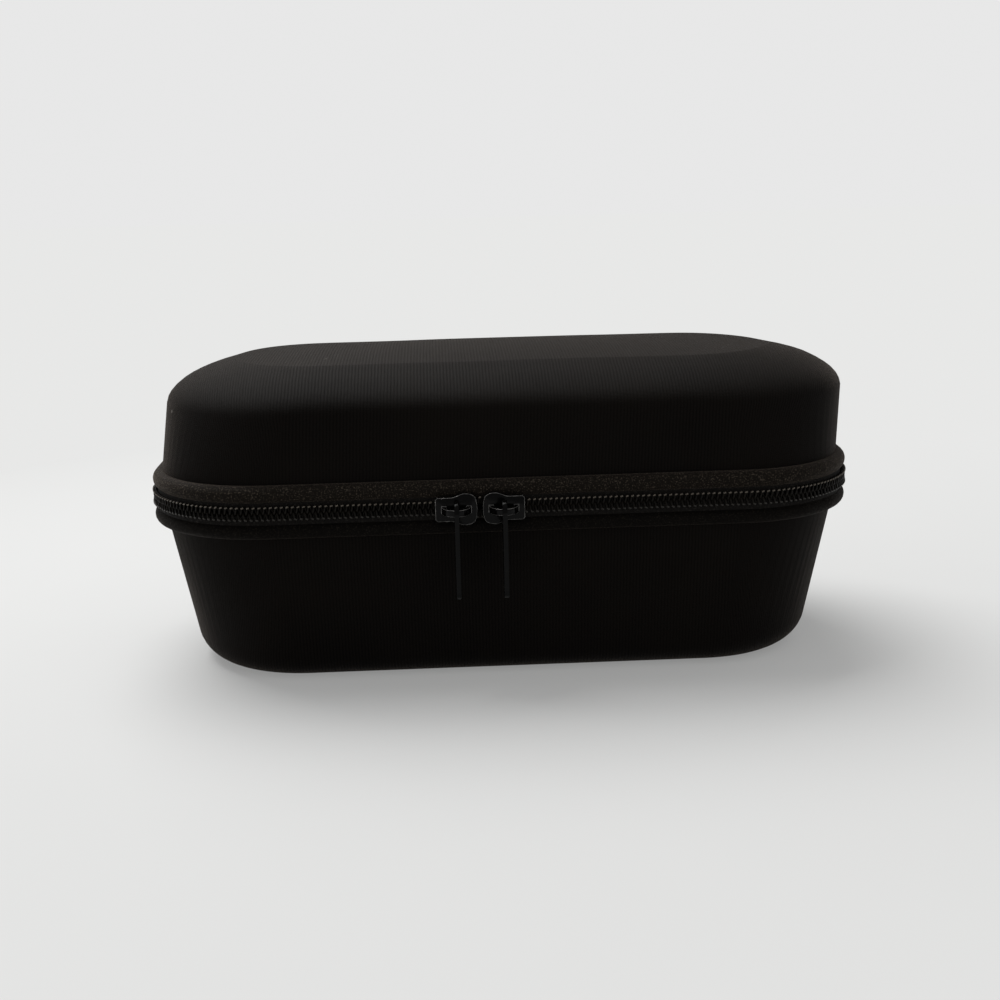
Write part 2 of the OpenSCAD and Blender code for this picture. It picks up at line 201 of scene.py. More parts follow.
def edit_all():
    """Enters edit mode with the whole piece selected."""
    bpy.ops.object.mode_set(mode="EDIT")
    bpy.ops.mesh.select_all(action="SELECT")


def named(name):
    """The piece just added, under its own name."""
    piece = bpy.context.object
    piece.name = name
    piece.data.name = name
    return piece


def pick(test):
    """Selects the faces of the piece in edit mode that pass the test."""
    mesh = bmesh.from_edit_mesh(bpy.context.object.data)
    bpy.ops.mesh.select_mode(type="FACE")
    bpy.ops.mesh.select_all(action="DESELECT")
    for face in mesh.faces:
        if test(face):
            face.select_set(True)
    mesh.select_flush_mode()
    bmesh.update_edit_mesh(bpy.context.object.data)


def finished(piece, angle=40):
    """Back to object mode, with smooth shading where faces meet at less than the angle."""
    bpy.ops.object.mode_set(mode="OBJECT")
    bpy.ops.object.shade_smooth_by_angle(angle=math.radians(angle))
    return piece


def rim_outline(name, inset, z):
    """A flat rounded rectangle at an inset from the rim, left in edit mode."""
    start_alone()
    bpy.ops.mesh.primitive_plane_add(size=2, location=(0, 0, z))
    piece = named(name)
    piece.scale = (half_l - inset, half_w - inset, 1)
    bpy.ops.object.transform_apply(location=True, rotation=True, scale=True)
    edit_all()
    bpy.ops.mesh.bevel(affect="VERTICES", offset=rim_r - inset, segments=corner_steps, profile=0.5)
    return piece


def inset_along(points, direction):
    """Insets the selected flat face from point to point of a cross-section."""
    least = 0.004 * MM
    for (u0, z0), (u1, z1) in zip(points, points[1:]):
        bpy.ops.mesh.inset(thickness=max(u1 - u0, least), depth=(z1 - z0) * direction, use_even_offset=True)


def cut_into_cells(step):
    """Cuts the piece by upright planes, so that its straight runs and flat can bend."""
    for axis, reach in (((1, 0, 0), core_x), ((0, 1, 0), core_y)):
        count = max(2, round(2 * reach / step))
        for i in range(1, count):
            place = -reach + 2 * reach * i / count
            bpy.ops.mesh.select_all(action="SELECT")
            bpy.ops.mesh.bisect(plane_co=[a * place for a in axis], plane_no=axis)


def pot(name, outer, inner):
    """A thick-walled shell: an outer and an inner cross-section that start at one rim line."""
    up = 1 if outer[-1][1] > outer[0][1] else -1
    piece = rim_outline(name, outer[0][0], outer[0][1])
    sliver = 0.01 * MM * up
    bpy.ops.mesh.extrude_region_move(TRANSFORM_OT_translate={"value": (0, 0, sliver)})
    bpy.ops.mesh.select_all(action="SELECT")
    bpy.ops.mesh.normals_make_consistent(inside=False)
    for points, side in ((outer, up), (inner, -up)):
        pick(lambda face: face.normal.z * side > 0.9 and len(face.verts) > 8)
        inset_along(points, side)
    finished(piece)
    ease_corners(piece)
    bpy.ops.object.mode_set(mode="EDIT")
    cut_into_cells(run_step)
    return finished(piece)


def profile_loop(name, points):
    """A closed loop of edges with one vertex for each place, left in edit mode."""
    start_alone()
    bpy.ops.mesh.primitive_circle_add(vertices=len(points), radius=1, fill_type="NOTHING")
    piece = named(name)
    for vertex, point in zip(piece.data.vertices, points):
        vertex.co = point
    bpy.ops.object.mode_set(mode="EDIT")
    bpy.ops.mesh.select_mode(type="EDGE")
    bpy.ops.mesh.select_all(action="SELECT")
    return piece


RING = [("run", 2 * core_x), ("turn", 90), ("run", 2 * core_y), ("turn", 90)] * 2
ZIP_RUN = [
    ("turn", zip_end_turn), ("run", 2 * core_y), ("turn", 90), ("run", 2 * core_x),
    ("turn", 90), ("run", 2 * core_y), ("turn", zip_end_turn),
]
HINGE_RUN = [("turn", 90 - zip_end_turn), ("run", 2 * core_x), ("turn", 90 - zip_end_turn)]


def swept(name, section, legs, first_centre, first_angle, closed=False):
    """A cross-section taken round the rim by straight runs and corner turns."""
    centre = Vector(first_centre)
    angle = math.radians(first_angle)
    out = Vector((math.cos(angle), math.sin(angle)))
    piece = profile_loop(name, [(*(centre + out * (rim_r - u)), z) for u, z in section])
    for kind, amount in legs:
        if kind == "turn":
            turn = math.radians(amount)
            steps = max(2, round(corner_steps * amount / 90))
            bpy.ops.mesh.spin(steps=steps, angle=-turn, center=(*centre, 0), axis=(0, 0, 1))
            angle += turn
        else:
            way = Vector((-math.sin(angle), math.cos(angle)))
            count = max(2, round(amount / run_step))
            for _ in range(count):
                move = {"value": (*(way * amount / count), 0)}
                bpy.ops.mesh.extrude_region_move(TRANSFORM_OT_translate=move)
            centre += way * amount
    bpy.ops.mesh.select_all(action="SELECT")
    bpy.ops.mesh.remove_doubles(threshold=0.005 * MM)
    if not closed:
        bpy.ops.mesh.fill_holes(sides=0)
    bpy.ops.mesh.select_all(action="SELECT")
    bpy.ops.mesh.normals_make_consistent(inside=False)
    return finished(piece)


def ring(name, section):
    return swept(name, section, RING, (core_x, core_y), 90, closed=True)


def zip_run(name, section):
    return swept(name, section, ZIP_RUN, (-core_x, core_y), 180 - zip_end_turn)


def hinge_run(name, section):
    return swept(name, section, HINGE_RUN, (core_x, core_y), zip_end_turn)


def copies(name, source, places):
    """One piece made of a copy of the source's mesh at each place, and the source removed."""
    corners = np.array([v.co for v in source.data.vertices])
    faces = [tuple(p.vertices) for p in source.data.polygons]
    points, joined = [], []
    for k, place in enumerate(places):
        turned = np.array(place.to_3x3()) @ corners.T
        points.append(turned.T + np.array(place.translation))
        joined += [tuple(i + k * len(corners) for i in face) for face in faces]
    mesh = bpy.data.meshes.new(name)
    mesh.from_pydata(np.vstack(points).tolist(), [], joined)
    piece = bpy.data.objects.new(name, mesh)
    bpy.context.scene.collection.objects.link(piece)
    bpy.data.objects.remove(source)
    select_alone(piece)
    bpy.ops.object.shade_smooth_by_angle(angle=math.radians(50))
    return piece


def places_of(piece):
    return np.array([v.co for v in piece.data.vertices])


def set_places(piece, places):
    piece.data.vertices.foreach_set("co", np.asarray(places).ravel())
    piece.data.update()


def use_modifier(piece, kind, **settings):
    """Adds a modifier with these settings and applies it."""
    select_alone(piece)
    modifier = piece.modifiers.new(kind.lower(), kind)
    for key, value in settings.items():
        setattr(modifier, key, value)
    bpy.ops.object.modifier_apply(modifier=modifier.name)


def merged_copy(node, name):
    """A copy of a CAD node's mesh with its triangles joined into clean faces."""
    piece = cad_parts[node].copy()
    piece.data = piece.data.copy()
    piece.name = piece.data.name = name
    for key in list(piece.keys()):
        del piece[key]
    piece.parent = None
    piece.matrix_world = Matrix.Identity(4)
    bpy.context.scene.collection.objects.link(piece)
    select_alone(piece)
    edit_all()
    bpy.ops.mesh.remove_doubles(threshold=0.002 * MM)
    bpy.ops.mesh.dissolve_limited(angle_limit=math.radians(1))
    bpy.ops.object.mode_set(mode="OBJECT")
    return piece


# The case's soft form: rounder corners away from the rim, a crown, and slight waves

lid_ease = 12 * MM
base_ease = 8 * MM
lid_lean = 1.2 * MM
right_bulge = 2.4 * MM
top_crown = 1.6 * MM
crown_edge = 20 * MM
wave = 0.25 * MM
calm_z = 8 * MM


def waves(x, y, z):
    """Slow waves of the pressed foam, between -1 and 1."""
    a = np.sin(x / (19 * MM) + 1.3) * np.cos(z / (15 * MM) + y / (23 * MM))
    b = np.sin(x / (8.5 * MM) - y / (11 * MM) + 0.6) * np.sin(z / (9 * MM) + 2.1)
    return 0.65 * a + 0.35 * b


def away_from_rim(z):
    """0 at the rim, growing to 1 at the lid's shoulder and at the base's foot."""
    rise = (z - seam_z - calm_z) / (shoulder_z - seam_z)
    drop = (seam_z - calm_z - z) / (seam_z - foot_r)
    return smooth(np.where(z > seam_z, rise, drop))


def ease_corners(piece):
    """Rounds a piece's upright corners more, the further they are from the rim."""
    x, y, z = places_of(piece).T
    dx = np.maximum(np.abs(x) - core_x, 0)
    dy = np.maximum(np.abs(y) - core_y, 0)
    radius = np.hypot(dx, dy)
    ease = np.minimum(np.where(z > seam_z, lid_ease, base_ease) * away_from_rim(z), core_y * 0.95)
    scale = (radius + ease) / np.maximum(radius, 1e-9)
    corner = (dx > 0) & (dy > 0)
    new_x = np.minimum(np.abs(x), core_x) * (core_x - ease) / core_x
    new_y = np.minimum(np.abs(y), core_y) * (core_y - ease) / core_y
    new_x = new_x + np.where(corner, dx * scale, np.where(dx > 0, dx + ease, 0))
    new_y = new_y + np.where(corner, dy * scale, np.where(dy > 0, dy + ease, 0))
    set_places(piece, np.stack([np.sign(x) * new_x, np.sign(y) * new_y, z], 1))
    return piece


def settle(piece):
    """Leans, swells and waves a piece as the pressed foam has gone in use."""
    x, y, z = places_of(piece).T
    above = z > seam_z
    away = away_from_rim(z)
    end = smooth((x - core_x) / (rim_r * 0.7)) * smooth((z - seam_z - lid_wall_z) / (7 * MM))
    x2 = x + np.where(above, lid_lean * away + right_bulge * end, 0)
    bump = waves(x, y, z) * wave * away
    length = np.maximum(np.hypot(x2, y), 1e-9)
    side = smooth(np.maximum(np.abs(x) / half_l, np.abs(y) / half_w) * 3 - 1.6)
    pull = np.abs(bump) * side / length
    flat = smooth((z - shoulder_z) / shoulder_h * 1.2)
    dome = np.clip(1 - (x / (half_l - crown_edge)) ** 2, 0, 1)
    dome = dome * np.clip(1 - (y / (half_w - crown_edge)) ** 2, 0, 1)
    z2 = z + np.where(above, flat * (dome - 0.35) * top_crown + flat * np.minimum(bump, 0), 0)
    set_places(piece, np.stack([x2 * (1 - pull), y * (1 - pull), z2], 1))
    return piece


def lay_cloth_map(piece):
    """A UV map in metres that follows the flat sheet of cloth as it was drawn over the mould."""
    mesh = piece.data
    x, y, z = places_of(piece).T
    drop = np.where(z > seam_z, top_z - z, z)
    dx = np.maximum(np.abs(x) - core_x, 0)
    dy = np.maximum(np.abs(y) - core_y, 0)
    over_x = np.arctan2(dx, dy) / (math.pi / 2)
    s = np.sign(x) * (np.abs(x) + over_x * drop)
    t = np.sign(y) * (np.abs(y) + (1 - over_x) * drop)
    layer = mesh.uv_layers.new(name="cloth")
    corners = np.zeros(len(mesh.loops), int)
    mesh.loops.foreach_get("vertex_index", corners)
    layer.data.foreach_set("uv", np.stack([s[corners], t[corners]], 1).ravel())


# Shader node groups


def make_group(name, inputs, outputs):
    """An empty node group with its sockets. Each is a name, a socket type and a default."""
    group = bpy.data.node_groups.new(name, "ShaderNodeTree")
    for way, sockets in (("INPUT", inputs), ("OUTPUT", outputs)):
        for socket_name, kind, default in sockets:
            socket = group.interface.new_socket(socket_name, in_out=way, socket_type="NodeSocket" + kind)
            if default is not None:
                socket.default_value = default
    return group, group.nodes.new("NodeGroupInput"), group.nodes.new("NodeGroupOutput")


def maths(tree, operation, a, b=None, c=None):
    """A Math node; each operand is a socket or a number."""
    node = tree.nodes.new("ShaderNodeMath")
    node.operation = operation
    for slot, value in enumerate((a, b, c)):
        if value is None:
            continue
        if isinstance(value, (int, float)):
            node.inputs[slot].default_value = value
        else:
            tree.links.new(value, node.inputs[slot])
    return node.outputs[0]


def noise(tree, vector, scale, detail=2.0, rough=0.5):
    node = tree.nodes.new("ShaderNodeTexNoise")
    node.inputs["Scale"].default_value = scale
    node.inputs["Detail"].default_value = detail
    node.inputs["Roughness"].default_value = rough
    tree.links.new(vector, node.inputs["Vector"])
    return node.outputs["Fac"]


def remap(tree, value, low, high, new_low, new_high):
    node = tree.nodes.new("ShaderNodeMapRange")
    node.inputs["From Min"].default_value = low
    node.inputs["From Max"].default_value = high
    node.inputs["To Min"].default_value = new_low
    node.inputs["To Max"].default_value = new_high
    tree.links.new(value, node.inputs["Value"])
    return node.outputs["Result"]


def axes(tree, vector):
    """The separate X, Y and Z of a vector."""
    node = tree.nodes.new("ShaderNodeSeparateXYZ")
    tree.links.new(vector, node.inputs[0])
    return node.outputs


def scaled(tree, vector, factor):
    node = tree.nodes.new("ShaderNodeVectorMath")
    node.operation = "SCALE"
    tree.links.new(vector, node.inputs[0])
    tree.links.new(factor, node.inputs["Scale"])
    return node.outputs[0]


def cells(tree, vector, scale=1):
    node = tree.nodes.new("ShaderNodeTexVoronoi")
    node.inputs["Scale"].default_value = scale
    tree.links.new(vector, node.inputs["Vector"])
    return node.outputs


def rib_group():
    """Ribs with knitted loops along them, from a map in metres, and a painted shade for the grooves between
    the ribs.
    """
    group, ins, outs = make_group(
        "ribbed_knit",
        [("Map", "Vector", None), ("Rib pitch", "Float", 0.0008), ("Loop pitch", "Float", 0.0006)],
        [("Height", "Float", None), ("Groove shade", "Float", None)],
    )
    split = axes(group, ins.outputs["Map"])
    shift = noise(group, ins.outputs["Map"], 260, 1.0)
    across = maths(group, "ADD", split["X"], maths(group, "MULTIPLY", shift, 0.00025))
    across = maths(group, "DIVIDE", across, ins.outputs["Rib pitch"])
    rib = maths(group, "ABSOLUTE", maths(group, "SINE", maths(group, "MULTIPLY", across, math.pi)))
    lean = maths(group, "MULTIPLY", maths(group, "PINGPONG", across, 0.5), 1.1)
    along = maths(group, "ADD", maths(group, "DIVIDE", split["Y"], ins.outputs["Loop pitch"]), lean)
    loop = maths(group, "ABSOLUTE", maths(group, "SINE", maths(group, "MULTIPLY", along, math.pi)))
    height = maths(group, "MULTIPLY_ADD", loop, 0.45, maths(group, "MULTIPLY", rib, 0.55))
    group.links.new(height, outs.inputs["Height"])
    # Painted shade: how far down into a groove between the ribs a place lies.
    groove_shade = maths(group, "SUBTRACT", 1, maths(group, "POWER", rib, 0.6))
    group.links.new(groove_shade, outs.inputs["Groove shade"])
    return group


def grain_group():
    """Fine grain of a woven or stretch cloth whose threads catch the light."""
    group, ins, outs = make_group(
        "thread_grain",
        [("Place", "Vector", None), ("Size", "Float", 0.0005)],
        [("Height", "Float", None), ("Glint", "Float", None)],
    )
    place = scaled(group, ins.outputs["Place"], maths(group, "DIVIDE", 1, ins.outputs["Size"]))
    fine = noise(group, place, 2.2, 2.0, 0.6)
    height = maths(group, "SUBTRACT", maths(group, "MULTIPLY", fine, 0.6), cells(group, place)["Distance"])
    group.links.new(height, outs.inputs["Height"])
    glint = remap(group, noise(group, place, 0.9, 1.0), 0.56, 0.72, 0, 1)
    group.links.new(glint, outs.inputs["Glint"])
    return group


def wear_group():
    """Slow patches of colour and a few specks of lint or bare metal."""
    group, ins, outs = make_group(
        "patches_and_specks",
        [("Place", "Vector", None), ("Speck size", "Float", 0.0006), ("Speck share", "Float", 0.02)],
        [("Patch", "Float", None), ("Speck", "Float", None)],
    )
    group.links.new(noise(group, ins.outputs["Place"], 28, 3.0, 0.6), outs.inputs["Patch"])
    per_speck = maths(group, "DIVIDE", 0.12, ins.outputs["Speck size"])
    spots = cells(group, scaled(group, ins.outputs["Place"], per_speck))
    close = maths(group, "LESS_THAN", spots["Distance"], 0.085)
    tone = group.nodes.new("ShaderNodeSeparateColor")
    group.links.new(spots["Color"], tone.inputs[0])
    chosen = maths(group, "LESS_THAN", tone.outputs[0], ins.outputs["Speck share"])
    group.links.new(maths(group, "MULTIPLY", close, chosen), outs.inputs["Speck"])
    return group


RIBS, GRAIN, WEAR = rib_group(), grain_group(), wear_group()


# Materials


class Finish:
    """A material with a Principled BSDF, and short ways to reach its nodes."""

    def __init__(self, name, **settings):
        self.material = bpy.data.materials.new(name)
        self.material.use_nodes = True
        self.tree = self.material.node_tree
        self.shader = self.tree.nodes["Principled BSDF"]
        for key, value in settings.items():
            self.shader.inputs[key.replace("_", " ")].default_value = value
        self.place = self.tree.nodes.new("ShaderNodeTexCoord").outputs["Object"]

    def group(self, group, **values):
        node = self.tree.nodes.new("ShaderNodeGroup")
        node.node_tree = group
        for key, value in values.items():
            socket = node.inputs[key.replace("_", " ")]
            if isinstance(value, (int, float)):
                socket.default_value = value
            else:
                self.tree.links.new(value, socket)
        return node.outputs

    def grain(self, size):
        return self.group(GRAIN, Place=self.place, Size=size)

    def wear(self, speck_size, speck_share):
        return self.group(WEAR, Place=self.place, Speck_size=speck_size, Speck_share=speck_share)

    def noise(self, scale, detail, rough=0.5):
        return noise(self.tree, self.place, scale, detail, rough)

    def maths(self, operation, *values):
        return maths(self.tree, operation, *values)

    def remap(self, value, low, high, new_low, new_high):
        return remap(self.tree, value, low, high, new_low, new_high)

    def mix(self, fac, a, b):
        """A blend of two colours; each is a socket, or its red, green and blue."""
        node = self.tree.nodes.new("ShaderNodeMix")
        node.data_type = "RGBA"
        self.tree.links.new(fac, node.inputs["Factor"])
        for socket, value in ((node.inputs["A"], a), (node.inputs["B"], b)):
            if isinstance(value, tuple):
                socket.default_value = (*value, 1)
            else:
                self.tree.links.new(value, socket)
        return node.outputs["Result"]

    def feed(self, name, value):
        self.tree.links.new(value, self.shader.inputs[name])

    def bump(self, height, distance, strength=1.0, under=None):
        node = self.tree.nodes.new("ShaderNodeBump")
        node.inputs["Distance"].default_value = distance
        node.inputs["Strength"].default_value = strength
        self.tree.links.new(height, node.inputs["Height"])
        if under is not None:
            self.tree.links.new(under, node.inputs["Normal"])
        return node.outputs["Normal"]


dust_sheen = (1, 0.84, 0.72, 1)
lint = (0.16, 0.15, 0.14)


def shell_cloth():
    f = Finish("shell_cloth", Sheen_Weight=0.16, Sheen_Roughness=0.22, Specular_IOR_Level=0.05)
    f.shader.inputs["Sheen Tint"].default_value = dust_sheen
    sheet = f.tree.nodes.new("ShaderNodeUVMap")
    sheet.uv_map = "cloth"
    knit = f.group(RIBS, Map=sheet.outputs[0], Rib_pitch=0.85 * MM, Loop_pitch=0.62 * MM)
    wear = f.wear(0.7 * MM, 0.012)
    # Darker down in the grooves between the ribs: painted shade.
    cloth = f.mix(knit["Groove shade"], (0.0065, 0.0052, 0.0044), (0.0018, 0.0015, 0.0013))
    aged = f.mix(f.remap(wear["Patch"], 0.35, 0.7, 0, 0.5), cloth, (0.009, 0.0072, 0.0058))
    f.feed("Base Color", f.mix(wear["Speck"], aged, lint))
    f.feed("Roughness", f.remap(knit["Height"], 0, 1, 0.85, 0.62))
    fuzz = f.noise(5200, 1.0)
    soft = f.bump(fuzz, 0.06 * MM, 0.5)
    f.feed("Normal", f.bump(knit["Height"], 0.13 * MM, 0.8, soft))
    return f.material


def bead_cloth(name, dark, light, sheen):
    """The beads' cloth, lighter where its grain glints, which is a painted highlight. The lid's copy is
    lighter, and the base's copy is darker with less sheen: painted light and shade on one cloth.
    """
    f = Finish(name, Sheen_Weight=sheen, Sheen_Tint=dust_sheen, Sheen_Roughness=0.3, Specular_IOR_Level=0.06)
    grain = f.grain(0.32 * MM)
    wear = f.wear(0.6 * MM, 0.01)
    cloth = f.mix(grain["Glint"], dark, light)
    f.feed("Base Color", f.mix(wear["Speck"], cloth, lint))
    f.feed("Roughness", f.remap(grain["Glint"], 0, 1, 0.75, 0.45))
    f.feed("Normal", f.bump(grain["Height"], 0.12 * MM, 0.9))
    return f.material


def lining_cloth():
    f = Finish("lining_cloth", Sheen_Weight=0.6, Sheen_Roughness=0.5, Specular_IOR_Level=0.2)
    grain = f.grain(0.5 * MM)
    wear = f.wear(0.6 * MM, 0.006)
    nap = f.remap(f.noise(60, 3.0, 0.7), 0.35, 0.65, 0, 1)
    cloth = f.mix(nap, (0.028, 0.028, 0.03), (0.045, 0.045, 0.048))
    f.feed("Base Color", f.mix(wear["Patch"], cloth, (0.035, 0.035, 0.037)))
    f.feed("Roughness", f.remap(grain["Glint"], 0, 1, 0.95, 0.8))
    f.feed("Normal", f.bump(grain["Height"], 0.1 * MM, 0.7))
    return f.material


def foam_skin():
    f = Finish("foam_skin", Sheen_Weight=0.35, Sheen_Roughness=0.6, Specular_IOR_Level=0.25)
    grain = f.grain(0.8 * MM)
    patch = f.wear(0.8 * MM, 0.004)["Patch"]
    foam = f.mix(grain["Glint"], (0.04, 0.04, 0.042), (0.026, 0.026, 0.027))
    f.feed("Base Color", f.mix(f.remap(patch, 0.4, 0.7, 0, 0.6), foam, (0.055, 0.055, 0.057)))
    f.feed("Roughness", f.remap(patch, 0, 1, 0.95, 0.8))
    f.feed("Normal", f.bump(grain["Height"], 0.15 * MM, 0.6))
    return f.material


def tape_cloth():
    f = Finish("tape_cloth", Sheen_Weight=0.1, Sheen_Roughness=0.3, Specular_IOR_Level=0.15)
    grain = f.grain(0.4 * MM)
    cloth = f.mix(grain["Glint"], (0.006, 0.005, 0.0042), (0.02, 0.017, 0.014))
    f.feed("Base Color", cloth)
    f.feed("Roughness", f.remap(grain["Glint"], 0, 1, 0.8, 0.55))
    f.feed("Normal", f.bump(grain["Height"], 0.1 * MM, 0.8))
    return f.material


def nylon():
    f = Finish("nylon", Specular_IOR_Level=0.1)
    wear = f.wear(0.3 * MM, 0.0)
    patch = f.remap(wear["Patch"], 0.35, 0.7, 0, 1)
    f.feed("Base Color", f.mix(patch, (0.0042, 0.0032, 0.0022), (0.009, 0.0072, 0.0052)))
    f.feed("Roughness", f.remap(wear["Patch"], 0, 1, 0.28, 0.45))
    f.feed("Normal", f.bump(f.noise(4000, 1.0), 0.02 * MM, 0.4))
    return f.material


def thread(name, dark, light):
    f = Finish(name, Sheen_Weight=0.2, Specular_IOR_Level=0.4)
    twist = f.tree.nodes.new("ShaderNodeTexWave")
    twist.inputs["Scale"].default_value = 900
    f.tree.links.new(f.place, twist.inputs["Vector"])
    f.feed("Base Color", f.mix(twist.outputs["Fac"], dark, light))
    f.feed("Roughness", f.remap(twist.outputs["Fac"], 0, 1, 0.6, 0.4))
    f.feed("Normal", f.bump(twist.outputs["Fac"], 0.04 * MM, 0.5))
    return f.material


def black_paint():
    f = Finish("black_paint", Specular_IOR_Level=0.06, Coat_Weight=0.06, Coat_Roughness=0.06)
    wear = f.wear(0.35 * MM, 0.05)
    fine = f.noise(900, 3.0, 0.6)
    # Lighter paint in random spots where it is worn thin.
    lighter_share = f.remap(fine, 0.62, 0.7, 0, 0.5)
    paint = f.mix(lighter_share, (0.0018, 0.0017, 0.0016), (0.007, 0.0066, 0.006))
    f.feed("Base Color", f.mix(wear["Speck"], paint, (0.12, 0.115, 0.11)))
    f.feed("Roughness", f.remap(fine, 0.3, 0.7, 0.14, 0.26))
    f.feed("Metallic", f.maths("MULTIPLY", wear["Speck"], 0.8))
    f.feed("Normal", f.bump(fine, 0.02 * MM, 0.4))
    return f.material


def hook_tape():
    f = Finish("hook_tape", Specular_IOR_Level=0.35)
    hook_pitch = 0.9 * MM
    tips = f.remap(cells(f.tree, f.place, 1 / hook_pitch)["Distance"], 0.05, 0.45, 1, 0)
    # Lighter on the hook tips and darker between them: painted highlight and shade.
    f.feed("Base Color", f.mix(tips, (0.006, 0.006, 0.006), (0.03, 0.03, 0.031)))
    f.feed("Roughness", f.remap(tips, 0, 1, 0.8, 0.35))
    f.feed("Normal", f.bump(tips, 0.4 * MM, 0.9))
    return f.material


def knitted_net():
    f = Finish("knitted_net", Sheen_Weight=0.3, Specular_IOR_Level=0.4)
    grain = f.grain(0.25 * MM)
    f.feed("Base Color", f.mix(grain["Glint"], (0.012, 0.012, 0.012), (0.045, 0.045, 0.045)))
    f.feed("Roughness", f.remap(grain["Glint"], 0, 1, 0.7, 0.5))
    f.feed("Normal", f.bump(grain["Height"], 0.05 * MM, 0.8))
    split = axes(f.tree, f.place)
    pitch = 1.7 * MM
    row = f.maths("DIVIDE", split["Y"], pitch * 0.866)
    shift = f.maths("MULTIPLY", f.maths("FLOOR", row), 0.5)
    column = f.maths("ADD", f.maths("DIVIDE", split["X"], pitch), shift)
    across = f.maths("ABSOLUTE", f.maths("SUBTRACT", f.maths("FRACT", column), 0.5))
    down = f.maths("ABSOLUTE", f.maths("SUBTRACT", f.maths("FRACT", row), 0.5))
    slanted = f.maths("MULTIPLY_ADD", down, 0.9, f.maths("MULTIPLY", across, 0.45))
    far = f.maths("MAXIMUM", across, slanted)
    f.feed("Alpha", f.remap(far, 0.34, 0.38, 0, 1))
    return f.material


def woven_elastic():
    f = Finish("woven_elastic", Sheen_Weight=0.3, Specular_IOR_Level=0.35)
    split = axes(f.tree, f.place)
    cord_pitch = 0.8 * MM
    turn = f.maths("MULTIPLY", split["Y"], math.pi / cord_pitch)
    cords = f.maths("ABSOLUTE", f.maths("SINE", turn))
    grain = f.grain(0.35 * MM)
    # Darker between the cords than on them: painted shade.
    colour = f.mix(cords, (0.01, 0.01, 0.01), (0.03, 0.03, 0.03))
    f.feed("Base Color", f.mix(grain["Glint"], colour, (0.045, 0.045, 0.045)))
    f.feed("Roughness", f.remap(cords, 0, 1, 0.85, 0.65))
    height = f.maths("ADD", cords, f.maths("MULTIPLY", grain["Height"], 0.3))
    f.feed("Normal", f.bump(height, 0.15 * MM, 0.8))
    return f.material


def edge_highlight_finish():
    f = Finish("edge_highlight_finish", Specular_IOR_Level=0.5)
    # A lighter, partly metallic finish for the sliders' bevelled edges, which stands in for the highlights
    # along them: painted highlight.
    fine = f.noise(700, 3.0, 0.6)
    lighter_share = f.remap(fine, 0.4, 0.62, 0.25, 1)
    f.feed("Base Color", f.mix(lighter_share, (0.02, 0.019, 0.018), (0.3, 0.29, 0.28)))
    f.feed("Metallic", f.maths("MULTIPLY", lighter_share, 0.9))
    f.feed("Roughness", f.remap(fine, 0.3, 0.7, 0.35, 0.2))
    f.feed("Normal", f.bump(fine, 0.02 * MM, 0.4))
    return f.material


SHELL, LINING, FOAM = shell_cloth(), lining_cloth(), foam_skin()
BEAD = bead_cloth("bead_cloth", (0.0105, 0.0083, 0.0064), (0.085, 0.069, 0.053), 0.2)
# The base's bead: the same cloth, made darker and with less sheen as painted shade.
SHADED_LOWER_BEAD = bead_cloth("lower_bead_cloth_painted_shade", (0.0035, 0.0028, 0.0022), (0.017, 0.014, 0.011), 0.08)
THREAD = thread("thread", (0.06, 0.05, 0.038), (0.2, 0.167, 0.13))
# The base's zip stitches: the same thread, made darker as painted shade.
SHADED_LOWER_THREAD = thread("lower_thread_painted_shade", (0.01, 0.008, 0.006), (0.034, 0.028, 0.021))
HOOKS = hook_tape()
TAPE, NYLON, PAINT, EDGE_HIGHLIGHT = tape_cloth(), nylon(), black_paint(), edge_highlight_finish()
NET, ELASTIC = knitted_net(), woven_elastic()


def dress(piece, material, body, nodes=()):
    """Gives a piece its material and its body, and hides the CAD nodes that it stands for."""
    piece.data.materials.clear()
    piece.data.materials.append(material)
    if body:
        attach(piece, body)
    if nodes:
        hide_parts(*nodes)
    return piece


# Stitches

stitch_r = 0.2 * MM
stitch_sunk = 0.02 * MM
zip_stitch_slant = 18
lid_stitch_drop = 0.4 * MM
base_stitch_drop = 0.62 * MM
edge_stitch_z = 4.6 * MM
edge_stitch_pitch = 3 * MM


def stitch_shape(length, rounding):
    """One stitch of thread: a short rod with rounded edges."""
    start_alone()
    bpy.ops.mesh.primitive_cylinder_add(vertices=6, radius=stitch_r, depth=length, end_fill_type="NGON")
    stitch = named("stitch")
    edit_all()
    bpy.ops.mesh.bevel(affect="EDGES", offset=rounding, segments=1)
    bpy.ops.object.mode_set(mode="OBJECT")
    return stitch


def stitch_place(spot, way, out, tilt):
    """A place on the cloth, with the stitch tilted from upright by an angle in degrees."""
    turn = Matrix((way, out, Vector((0, 0, 1)))).transposed()
    return Matrix.Translation(spot) @ (turn @ Matrix.Rotation(math.radians(tilt), 3, "Y")).to_4x4()


# Shells, beads, linings and bindings

hidden_rim = 0.8 * MM


def layer(name, surface, z0, off, thickness):
    """A layer of a shell, between two offsets of its surface."""
    outer = surface(off, z0)
    return pot(name, to_flat(outer), to_flat([outer[0]] + surface(off + thickness, z0)))


def shells():
    """The lid and the base: moulded foam with ribbed cloth bonded to it."""
    for body, surface, z0 in (
        ("lid", lid_surface, seam_z + lid_wall_z - hidden_rim),
        ("base", base_surface, seam_z - base_wall_z + hidden_rim),
    ):
        piece = layer(body + "_cloth", surface, z0, 0, wall_t)
        lay_cloth_map(piece)
        dress(settle(piece), SHELL, body, [body + "_shell"])


def linings():
    for body, surface, z0 in (("lid", lid_surface, seam_z + edge_z), ("base", base_surface, seam_z - edge_z)):
        piece = layer(body + "_lining_cloth", surface, z0, wall_t, lining_t)
        dress(settle(piece), LINING, body, [body + "_lining"])


